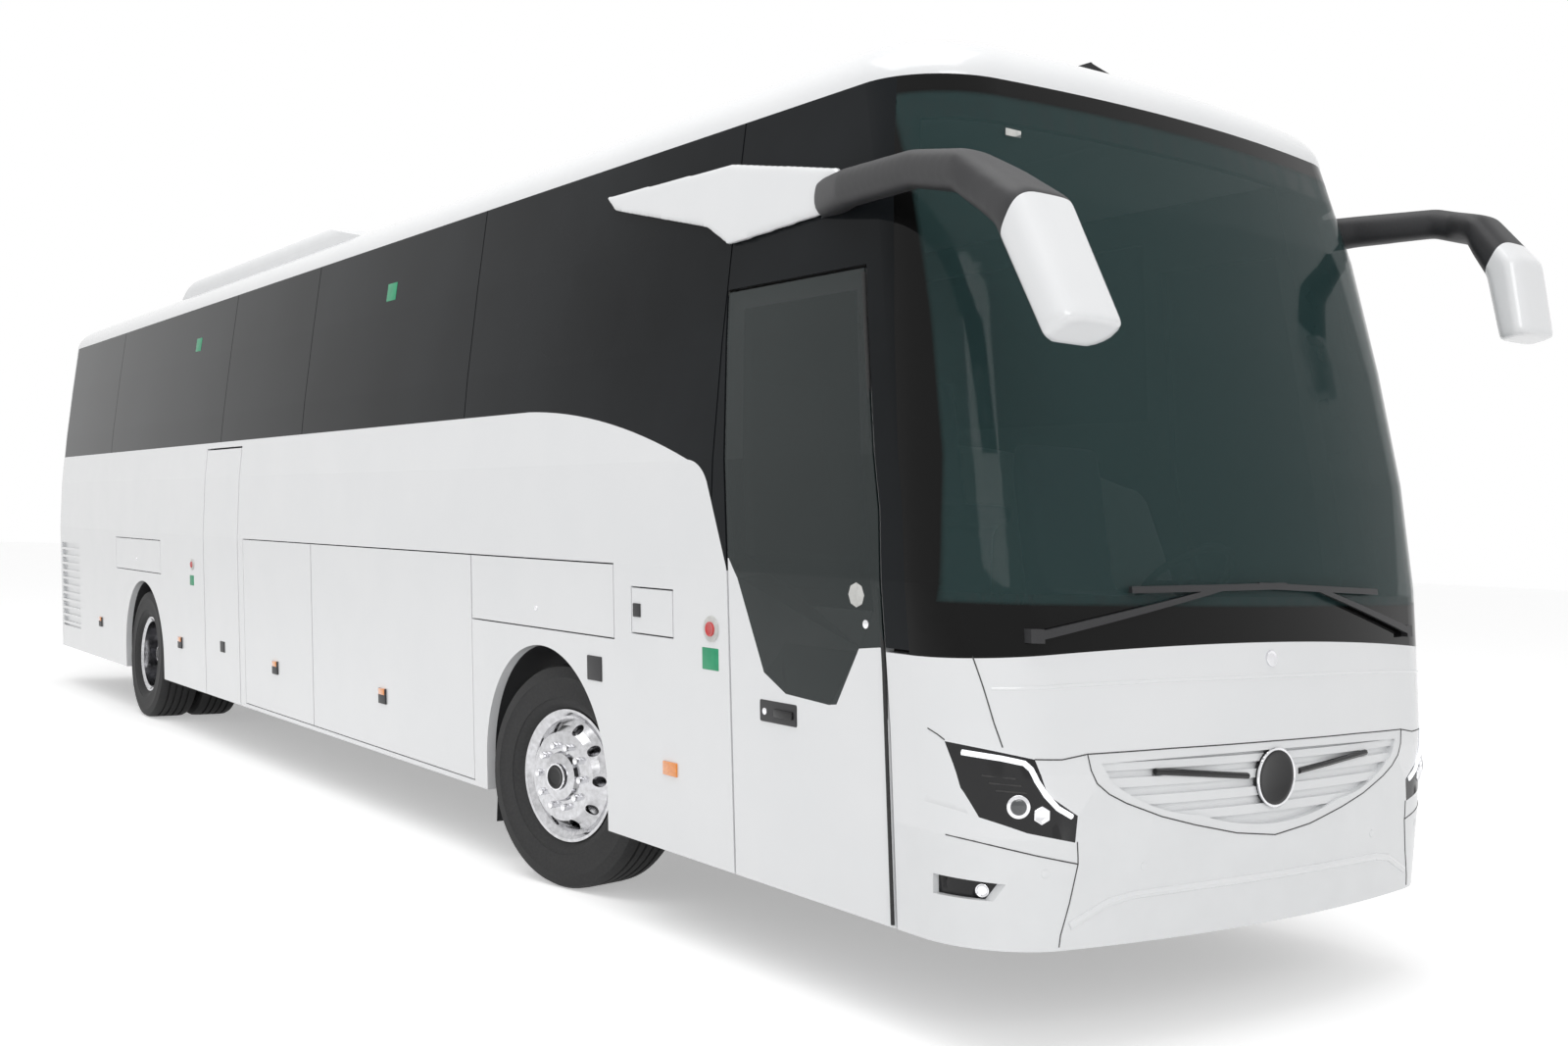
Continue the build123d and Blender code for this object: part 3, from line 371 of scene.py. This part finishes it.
# Front lamps: light strip over and down the inner edge, projector with its bright cup, side reflectors
STRIP = [(1.205, 0.962), (1.13, 0.951), (1.072, 0.938), (1.054, 0.92), (1.037, 0.884), (1.007, 0.838),
         (0.967, 0.798), (0.915, 0.77)]
for side, name in ((-1, "right"), (1, "left")):
    line = [tuple(on_front(side * x, z, 0.001)[0]) for x, z in between(STRIP, 0.02)]
    bead("lamp_strip_" + name, line, 0.009, "body", lamp_strip)
    spot, facing = on_front(side * 1.085, 0.803, 0.002)
    turned("lamp_cup_" + name, spot, facing, 0.043, 0.014, "body", chrome, dish=0.006)
    turned("lamp_eye_" + name, spot + facing * 0.004, facing, 0.026, 0.014, "body", lamp_lens,
           edge=0.006)
    spot, facing = on_front(side * 1.02, 0.778, 0.002)
    turned("lamp_side_cup_" + name, spot, facing, 0.03, 0.01, "body", chrome, dish=0.004,
           sides=6)
    for level, x in enumerate((1.125, 1.11, 1.095)):
        low = on_front(side * (x + 0.045), 0.895 - level * 0.022, 0.001)[0]
        high = on_front(side * (x - 0.03), 0.89 - level * 0.022, 0.001)[0]
        bead("lamp_rib_%s_%d" % (name, level), [tuple(low), tuple(high)], 0.003, "body", chassis_black)
    spot, facing = on_front(side * 1.135, 0.532, 0.002)
    turned("fog_cup_" + name, spot, facing, 0.022, 0.01, "body", chrome, dish=0.004)

# Grille: two dark slots and a bare round boss with a bright rim
for side, name in ((-1, "right"), (1, "left")):
    slot_line = []
    for x, z in ((0.575, 0.895), (0.44, 0.884), (0.3, 0.872), (0.14, 0.858)):
        proud = min(on_front(side * x, z + step / 100)[0].y for step in range(-4, 5))
        slot_line.append((side * x, proud - 0.001, z))
    bead("grille_slot_" + name, slot_line, 0.011, "body", gloss_black)
proud = min(on_front(0, 0.846 + step / 100)[0].y for step in range(-9, 10))
spot, facing = Vector((0, proud, 0.846)), Vector((0, -1, 0))
turned("nose_boss", spot, facing, 0.098, 0.024, "body", gloss_black, edge=0.006, sides=64,
       dish=0.003)
ring("nose_boss_rim", spot + facing * 0.01, facing, 0.098, 0.005, "body", chrome)
spot, facing = on_front(0, 1.251, 0.003)
turned("hood_boss", spot, facing, 0.028, 0.01, "body", chrome, dish=0.002)
for x in (-1.0, -0.62, 0.62, 1.0):
    spot, facing = on_front(x, 0.595, 0.0)
    turned("park_sensor_%d" % round(100 * x + 200), spot, facing, 0.014, 0.004, "body", white_plastic,
           edge=0.001)
spot, facing = on_front(-0.86, 3.0, 0.002)
pad("screen_tag", spot - Vector((0.035, 0.003, 0.012)), spot + Vector((0.035, 0.003, 0.012)), "body",
    pale_plate, edge=0.002)

# Fittings on the flanks
FLANK_SKIN = ("body_side_right", "body_side_left", "side_glass", "front_door", "front_door_glass", "mid_door",
              "fuel_flap", "service_flap_front", "service_flap_rear", "luggage_flap_right_front",
              "luggage_flap_right_rear", "luggage_flap_left_front", "luggage_flap_left_rear")


def on_side(station, height, side=-1):
    """A spot on a flank, and the way the skin faces there."""
    return meets((side * 3, along(station), height), (-side, 0, 0), FLANK_SKIN)


def flank(name, stations, heights, body, finish, out=0.005, inside=0.006, edge=0.003, side=-1):
    """A shallow fitting that lies on a flank's skin."""
    middle = sum(stations) / 2, sum(heights) / 2
    spot, facing = on_side(middle[0], middle[1], side)
    bpy.ops.object.select_all(action="DESELECT")
    bpy.ops.mesh.primitive_cube_add(size=1, location=spot + facing * (out - inside) / 2,
                                    rotation=facing.to_track_quat("X", "Z").to_euler())
    piece = bpy.context.object
    piece.scale = (out + inside, stations[1] - stations[0], heights[1] - heights[0])
    choose(piece)
    bpy.ops.object.transform_apply(location=True, rotation=True, scale=True)
    apply_modifier(piece, "BEVEL", width=min(edge, (out + inside) * 0.4), segments=3)
    return settle(piece, name, body, finish)


def boss(name, station, height, radius, body, finish, out=0.006, dish=0.0):
    spot, facing = on_side(station, height)
    return turned(name, spot + facing * (out / 2 - 0.003), facing, radius, out + 0.006, body, finish,
                  edge=0.002, dish=dish)


flank("door_grip_plate", (0.913, 1.139), (0.944, 1.025), "front_door", moulded_black,
      edge=0.008, inside=0.02)
flank("door_grip_bar", (0.93, 1.04), (0.97, 0.998), "front_door", gloss_black, out=0.014)
boss("door_lock", 1.1, 0.984, 0.013, "front_door", chrome, out=0.01)
flank("mid_door_grip", (7.62, 7.72), (0.68, 0.756), "mid_door", moulded_black, edge=0.006)
spot, facing = on_side(0.57, 1.43)
turned("door_pane_tag", spot, facing, 0.042, 0.003, "front_door", pale_plate, edge=0.001,
       sides=8)
boss("door_pane_lock", 0.52, 1.335, 0.015, "front_door", chrome, out=0.004)
boss("door_button_plate", 1.453, 1.257, 0.05, "body", pale_plate)
boss("door_button", 1.453, 1.257, 0.028, "body", button_red, out=0.013, dish=0.003)
flank("door_sign", (1.407, 1.52), (1.1, 1.185), "body", exit_green, out=0.002)
boss("mid_button_plate", 8.37, 1.269, 0.04, "body", pale_plate)
boss("mid_button", 8.37, 1.269, 0.022, "body", button_red, out=0.012, dish=0.003)
flank("mid_sign", (8.34, 8.44), (1.115, 1.19), "body", exit_green, out=0.002)
flank("window_sign_front", (4.82, 4.95), (2.86, 2.96), "body", exit_green, out=0.0015,
      inside=0.002, edge=0.001)
flank("window_sign_rear", (8.56, 8.69), (2.86, 2.96), "body", exit_green, out=0.0015,
      inside=0.002, edge=0.001)
flank("arch_latch", (2.3, 2.425), (0.976, 1.082), "body", moulded_black, edge=0.006)
boss("service_lock_front", 2.894, 1.256, 0.011, "service_flap_front", chrome)
boss("service_lock_rear", 9.972, 1.263, 0.011, "service_flap_rear", chrome, out=0.003)
flank("fuel_lock", (1.975, 2.03), (1.27, 1.325), "fuel_flap", moulded_black, out=0.006,
      inside=0.012)
# Turn lamps and marker lamps; a marker that lies on a luggage flap lifts with it
MARKERS = ((4.743, "luggage_flap_%s_front"), (6.543, "luggage_flap_%s_rear"), (8.73, "body"),
           (11.243, "body"))
for side, name in ((-1, "right"), (1, "left")):
    flank("turn_lamp_" + name, (1.712, 1.812), (0.655, 0.71), "body", amber_lens, out=0.008,
          side=side)
    for number, (station, carrier) in enumerate(MARKERS):
        body = carrier % name if "%" in carrier else carrier
        base = flank("marker_base_%s_%d" % (name, number), (station - 0.05, station + 0.05), (0.628, 0.712),
                     body, moulded_black, out=0.009, side=side)
        flank("marker_lens_%s_%d" % (name, number), (station - 0.04, station + 0.04), (0.678, 0.712), body,
              amber_lens, out=0.013, side=side)
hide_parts("marker_lamps")

# Wheels: grooved tyres in place of the plain ones, hub cap and nuts
TREAD = [(-107, 300), (-112, 292), (107, 292), (107, 300), (132, 322), (140, 335), (144, 350), (148, 352),
         (149, 395), (148, 440), (150, 444), (146, 462), (143, 475), (139, 492), (118, 503), (84, 505),
         (82, 492), (70, 492), (68, 505), (34, 505), (32, 492), (20, 492), (18, 505), (-18, 505),
         (-20, 492), (-32, 492), (-34, 505), (-68, 505), (-70, 492), (-82, 492), (-84, 505), (-118, 503),
         (-139, 492), (-143, 475), (-146, 462), (-150, 444), (-148, 440), (-149, 395), (-148, 352),
         (-144, 350), (-140, 335), (-132, 322)]


def tyre(middles, outward):
    """Tyres spun from one grooved section round an axle, one for each middle point."""
    turn = Vector((1, 0, 0)).rotation_difference(Vector(outward)).to_matrix().to_4x4()
    parts = []
    for middle in middles:
        bpy.ops.object.select_all(action="DESELECT")
        bpy.ops.mesh.primitive_circle_add(vertices=len(TREAD), radius=1, fill_type="NOTHING")
        part = bpy.context.object
        for vertex, (across, radius) in zip(part.data.vertices, TREAD):
            vertex.co = (across / 1000, 0, radius / 1000)
        bpy.ops.object.mode_set(mode="EDIT")
        bpy.ops.mesh.select_all(action="SELECT")
        bpy.ops.mesh.spin(steps=96, angle=2 * math.pi, center=(0, 0, 0), axis=(1, 0, 0))
        bpy.ops.mesh.select_all(action="SELECT")
        bpy.ops.mesh.remove_doubles(threshold=WELD)
        bpy.ops.mesh.normals_make_consistent(inside=False)
        bpy.ops.object.mode_set(mode="OBJECT")
        part.data.transform(Matrix.Translation(middle) @ turn)
        parts.append(part)
    bpy.ops.object.select_all(action="DESELECT")
    for part in parts:
        part.select_set(True)
    bpy.context.view_layer.objects.active = parts[0]
    if len(parts) > 1:
        bpy.ops.object.join()
    return bpy.context.object


NUTS = 10
TWIN_SPACING = 0.168


def dress_wheel(name, body, middle, outward, nut_out, nut_ring, cap_out, cap_radius):
    """Ten nuts on their ring, a bead round the disc and a dark hub cap."""
    outward = Vector(outward)
    middle = Vector(middle)
    level = outward.cross(Vector((0, 0, 1))).normalized()
    for number in range(NUTS):
        angle = 2 * math.pi * number / NUTS
        spot = middle + outward * nut_out
        spot = spot + nut_ring * (math.cos(angle) * level + math.sin(angle) * Vector((0, 0, 1)))
        turned("nut_%s_%d" % (name, number), spot, outward, 0.017, 0.034, body, chrome, sides=6,
               edge=0.003)
    turned("hub_cap_" + name, middle + outward * cap_out, outward, cap_radius, 0.02, body, gloss_black,
           edge=0.006, dish=0.004)
    ring("hub_ring_" + name, middle + outward * (cap_out + 0.004), outward, cap_radius + 0.004, 0.005, body,
         chrome)


spins = {joint["child"]: joint for joint in frame["record"]["behaviour"]["joints"]
         if joint["name"].endswith("_spin")}
for side, name in ((-1, "right"), (1, "left")):
    joint = spins["front_wheel_" + name]
    outward = side * Vector(joint["axis"])
    piece = tyre([Vector(joint["pos_m"])], outward)
    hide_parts("front_tyre_" + name)
    settle(piece, "tread_front_" + name, "front_wheel_" + name, rubber)
    dress_wheel("front_" + name, "front_wheel_" + name, joint["pos_m"], outward, nut_out=0.162,
                nut_ring=0.14, cap_out=0.184, cap_radius=0.052)
    joint = spins["rear_wheels_" + name]
    outward = Vector((side, 0, 0))
    centre = Vector(joint["pos_m"])
    piece = tyre([centre + outward * TWIN_SPACING, centre - outward * TWIN_SPACING], outward)
    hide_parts("rear_tyres_" + name)
    settle(piece, "tread_rear_" + name, "rear_wheels_" + name, rubber)
    dress_wheel("rear_" + name, "rear_wheels_" + name, joint["pos_m"], outward, nut_out=0.046,
                nut_ring=0.16, cap_out=0.216, cap_radius=0.05)


def copy_of(name, node):
    """A piece with a copy of a node's mesh."""
    piece = bpy.data.objects.new(name, nodes[node].data.copy())
    bpy.context.scene.collection.objects.link(piece)
    return piece


def welded(name, node):
    """A copy of a node with its doubled points merged."""
    piece = copy_of(name, node)
    choose(piece)
    bpy.ops.object.mode_set(mode="EDIT")
    bpy.ops.mesh.select_all(action="SELECT")
    bpy.ops.mesh.remove_doubles(threshold=WELD)
    bpy.ops.object.mode_set(mode="OBJECT")
    return piece


def smoothed(name, node, voxel, passes, body, finish):
    """A rounded stand-in for a plain node, remeshed finely from a merged copy."""
    piece = welded(name, node)
    apply_modifier(piece, "REMESH", mode="VOXEL", voxel_size=voxel)
    apply_modifier(piece, "SMOOTH", factor=0.5, iterations=passes)
    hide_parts(node)
    return settle(piece, name, body, finish, angle=60)


def cut_along(piece, spot, normal):
    """Cuts new edges round a piece where a plane crosses it."""
    choose(piece)
    bpy.ops.object.mode_set(mode="EDIT")
    bpy.ops.mesh.select_all(action="SELECT")
    bpy.ops.mesh.bisect(plane_co=spot, plane_no=normal)
    bpy.ops.object.mode_set(mode="OBJECT")


# Mirrors: rounded horns, white shells over the heads, mirror glass towards the driver.
# Each head has a spot on the plane that parts white from black, its normal and the horn's end station.
MIRROR_REACH = 1.52
TAPER_LEAD, TAPER_RUN, TAPER_SHARE = 0.1, 0.16, 0.4
GLASS_FACING = 0.85
HEADS = {"right": ((-1.36, along(-0.36), 2.55), (0, 0.86, 0.5), -0.17),
         "left": ((1.36, along(-0.14), 2.76), (0, 0.86, 0.5), -0.02)}
for name, (spot, normal, end) in HEADS.items():
    horn = smoothed("horn_" + name, "mirror_" + name, 0.009, 26, "body", moulded_black)
    side = math.copysign(1, spot[0])
    for vertex in horn.data.vertices:
        share = min(max((along(end) + TAPER_LEAD - vertex.co.y) / TAPER_RUN, 0), 1)
        outer_gap = MIRROR_REACH - side * vertex.co.x
        vertex.co.x -= side * outer_gap * TAPER_SHARE * share * share * (3 - 2 * share)
    cut_along(horn, spot, normal)
    cut_along(horn, (0, along(end), 0), (0, 1, 0))
    horn.data.materials.append(white_paint)
    horn.data.materials.append(chrome)
    for face in horn.data.polygons:
        if face.center.y < along(end):
            if (face.center - Vector(spot)).dot(Vector(normal)) < 0:
                face.material_index = 1
            elif face.normal.y > GLASS_FACING and face.center.z < spot[2]:
                face.material_index = 2
smoothed("fairing", "mirror_fairing", 0.008, 22, "body", white_paint)

# Panel seams on the nose
made, shader = finish_of("seam_shadow", (0.05, 0.05, 0.05), 0.8)
seam_shadow = speckle(made, shader, 60, (0.04, 0.04, 0.04), (0.07, 0.07, 0.07), 0.05)
SEAMS = {"hood_side": [(1.189, 1.262), (1.168, 1.17), (1.145, 1.06), (1.126, 0.985)],
         "corner_top": [(1.245, 1.025), (1.229, 0.995)],
         "hood_foot": [(1.042, 0.95), (0.95, 0.948), (0.853, 0.962), (0.5, 0.968), (0, 0.97)],
         "grille_edge": [(0.853, 0.96), (0.842, 0.91), (0.819, 0.869), (0.77, 0.833), (0.7, 0.801),
                         (0.55, 0.75), (0.399, 0.713), (0.2, 0.672), (0, 0.65)],
         "bumper_top": [(1.236, 0.702), (1.175, 0.688), (1.03, 0.652), (0.886, 0.62)],
         "bumper_joint": [(0.891, 0.69), (0.886, 0.62), (0.91, 0.5), (0.937, 0.4), (0.94, 0.362)]}
SEAM_THICK = 0.0022
for label, line in SEAMS.items():
    for side, name in ((-1, "right"), (1, "left")):
        found = [meets((side * x, -9, z), (0, 1, 0), FRONT_SKIN) for x, z in between(line, 0.03)]
        path = [tuple(spot[0]) for spot in found if spot]
        bead("seam_%s_%s" % (label, name), path, SEAM_THICK, "body", seam_shadow)

# Raised creases of the bumper and the hood, white like their panels
CREASE_SUNK = 0.4
CREASES = {"bumper_ledge": ([(0.905, 0.425), (0.84, 0.455), (0.76, 0.49), (0.66, 0.506), (0.4, 0.511),
                             (0, 0.512)], 0.016),
           "hood_crease": ([(1.15, 1.165), (0.9, 1.178), (0.5, 1.188), (0, 1.19)], 0.007)}
for label, (line, thick) in CREASES.items():
    both = [(-x, z) for x, z in line] + [(x, z) for x, z in reversed(line[:-1])]
    found = [meets((x, -9, z), (0, 1, 0), FRONT_SKIN) for x, z in between(both, 0.03)]
    path = [tuple(spot[0] - spot[1] * thick * CREASE_SUNK) for spot in found if spot]
    bead(label, path, thick, "body", white_paint)

# Lamp windows cut to their outline: the corner outside it is white like its panel
lamp_body = welded("lamp_windows", "front_lamps")
LAMP_EDGES = (((1.229, 0.991), (1.204, 0.851)), ((1.204, 0.851), (1.17, 0.764)),
              ((1.17, 0.764), (1.059, 0.722)))
LAMP_FOOT = 0.66
for side in (-1, 1):
    for (x0, z0), (x1, z1) in LAMP_EDGES:
        cut_along(lamp_body, (side * x0, 0, z0), (side * (z0 - z1), 0, -(x0 - x1)))
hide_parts("front_lamps")
settle(lamp_body, "lamp_windows", "body", gloss_black)
lamp_body.data.materials.append(white_paint)
for face in lamp_body.data.polygons:
    across, height = abs(face.center.x), face.center.z
    if height > LAMP_FOOT:
        for (x0, z0), (x1, z1) in LAMP_EDGES:
            if (across - x0) * (z0 - z1) - (height - z0) * (x0 - x1) > 0:
                face.material_index = 1

# Seats: soft cloth forms in place of the plain ones
seat_pads = smoothed("seat_pads", "seats", 0.032, 5, "body", seat_cloth)

# Door seals ride with their doors
DOOR_EDGE = [(0.399, 0.36), (0.43, 1.265), (0.466, 1.716), (0.63, 2.52)]


def on_flank(station, height):
    found = meets((-3, along(station), height), (1, 0, 0), ("front_door", "front_door_glass", "mid_door"))
    return None if found is None else tuple(found[0] + found[1] * 0.0005)


front_seal = [on_flank(s, z) for s, z in between(DOOR_EDGE, 0.08)]
rear_seal = [on_flank(s, z) for s, z in between([(1.318, 0.36), (1.338, 1.47)], 0.1)]
for name, line in (("front", front_seal), ("rear", rear_seal)):
    line = [spot for spot in line if spot]
    if len(line) > 1:
        bead("door_seal_" + name, line, 0.008, "front_door", rubber)

# Roof fin, raked back
FIN_START, FIN_END, FIN_TOP, FIN_HALF = 0.66, 0.86, 3.52, 0.011
FIN_RAKE, FIN_NARROW, FIN_THIN = 0.06, 0.35, 0.5
fin_middle = (FIN_START + FIN_END) / 2
roof_spot, _ = meets((0, along(0.74), 5), (0, 0, -1), ("roof_front_cap", "roof"))
fin = pad("roof_fin", (-FIN_HALF, along(FIN_START), roof_spot.z - 0.01), (FIN_HALF, along(FIN_END), FIN_TOP),
          "body", gloss_black, edge=0.004)
for vertex in fin.data.vertices:
    if vertex.co.z > roof_spot.z + 0.02:
        vertex.co.y = along(fin_middle + FIN_RAKE) + (vertex.co.y - along(fin_middle)) * FIN_NARROW
        vertex.co.x *= FIN_THIN

# Tail: amber, red and clear lenses in each lamp column
TAIL_X, TAIL_RADIUS = 1.095, 0.062
TAIL_LENSES = (("turn", 1.45, amber_lens, "lamp_amber"), ("stop", 1.23, red_lens, "lamp_red"),
               ("reverse", 1.03, pale_plate, "white_plastic"))
for side, name in ((-1, "right"), (1, "left")):
    for label, height, finish, slot in TAIL_LENSES:
        spot, facing = on_tail(side * TAIL_X, height, 0.001)
        turned("tail_%s_%s" % (label, name), spot, facing, TAIL_RADIUS, 0.012, "body", finish,
               edge=0.004, dish=0.003)

# Door leaves: the ends of the arm lugs stand outside the skin in the solids, and end flush with it here
LUG_REACH, LUG_HALF, LUG_TOP = 1.26, 0.03, 0.83
SKIN_X, SKIN_Z, SKIN_LEAN = 1.2318, 0.722, 0.057
for node, station in (("front_door", 1.14), ("mid_door", 7.47)):
    leaf = copy_of(node + "_leaf", node)
    for vertex in leaf.data.vertices:
        x, y, z = vertex.co
        if x < -LUG_REACH and abs(y - along(station)) < LUG_HALF and z < LUG_TOP:
            vertex.co.x = -(SKIN_X + SKIN_LEAN * (z - SKIN_Z))
    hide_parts(node)
    settle(leaf, node + "_leaf", node, white_paint)

FLOOR_SIZE, FLOOR_LIFT = 160, 0.4
AIR_LIGHT, AIR_SEEN = 0.56, 1.0


def ranged(tree, unseen, seen):
    """A value for light that only falls on things, and another for what the eye, gloss or glass sees."""
    rays = tree.nodes.new("ShaderNodeLightPath")
    total = rays.outputs["Is Camera Ray"]
    for kind in ("Is Glossy Ray", "Is Transmission Ray"):
        most = tree.nodes.new("ShaderNodeMath")
        most.operation = "MAXIMUM"
        tree.links.new(total, most.inputs[0])
        tree.links.new(rays.outputs[kind], most.inputs[1])
        total = most.outputs["Value"]
    spread = tree.nodes.new("ShaderNodeMapRange")
    spread.inputs["To Min"].default_value = unseen
    spread.inputs["To Max"].default_value = seen
    tree.links.new(total, spread.inputs["Value"])
    return spread.outputs["Result"]


# A pale floor under soft lamps, lifted a little where it is seen so that it stays white far off
bpy.ops.object.select_all(action="DESELECT")
bpy.ops.mesh.primitive_plane_add(size=FLOOR_SIZE, location=(0, 0, 0))
ground = bpy.context.object
ground.name = "studio_floor"
ground_finish, shader = finish_of("studio_white", (0.93, 0.93, 0.93), 0.9)
ground.data.materials.append(ground_finish)
floor_tree = ground_finish.node_tree
floor_lift = ranged(floor_tree, 0.0, FLOOR_LIFT)
floor_tree.links.new(floor_lift, shader.inputs["Emission Strength"])
shader.inputs["Emission Color"].default_value = (1, 1, 1, 1)
world = bpy.data.worlds.new("studio_air")
bpy.context.scene.world = world
world.use_nodes = True
air = world.node_tree
back = air.nodes["Background"]
air.links.new(ranged(air, AIR_LIGHT, AIR_SEEN), back.inputs["Strength"])
back.inputs["Color"].default_value = (1, 1, 1, 1)


def lamp(name, place, aim, size, watts):
    """A soft square lamp pointed at a spot."""
    data = bpy.data.lights.new(name, "AREA")
    data.shape = "SQUARE"
    data.size = size
    data.energy = watts
    made_lamp = bpy.data.objects.new(name, data)
    bpy.context.scene.collection.objects.link(made_lamp)
    made_lamp.location = place
    made_lamp.rotation_euler = (Vector(aim) - Vector(place)).to_track_quat("-Z", "Y").to_euler()


lamp("overhead_soft", (-3, -3, 13), (0, 0, 1), 12, 850)
lamp("front_soft", (-7, -17, 8), (0, -5, 1.5), 7, 480)
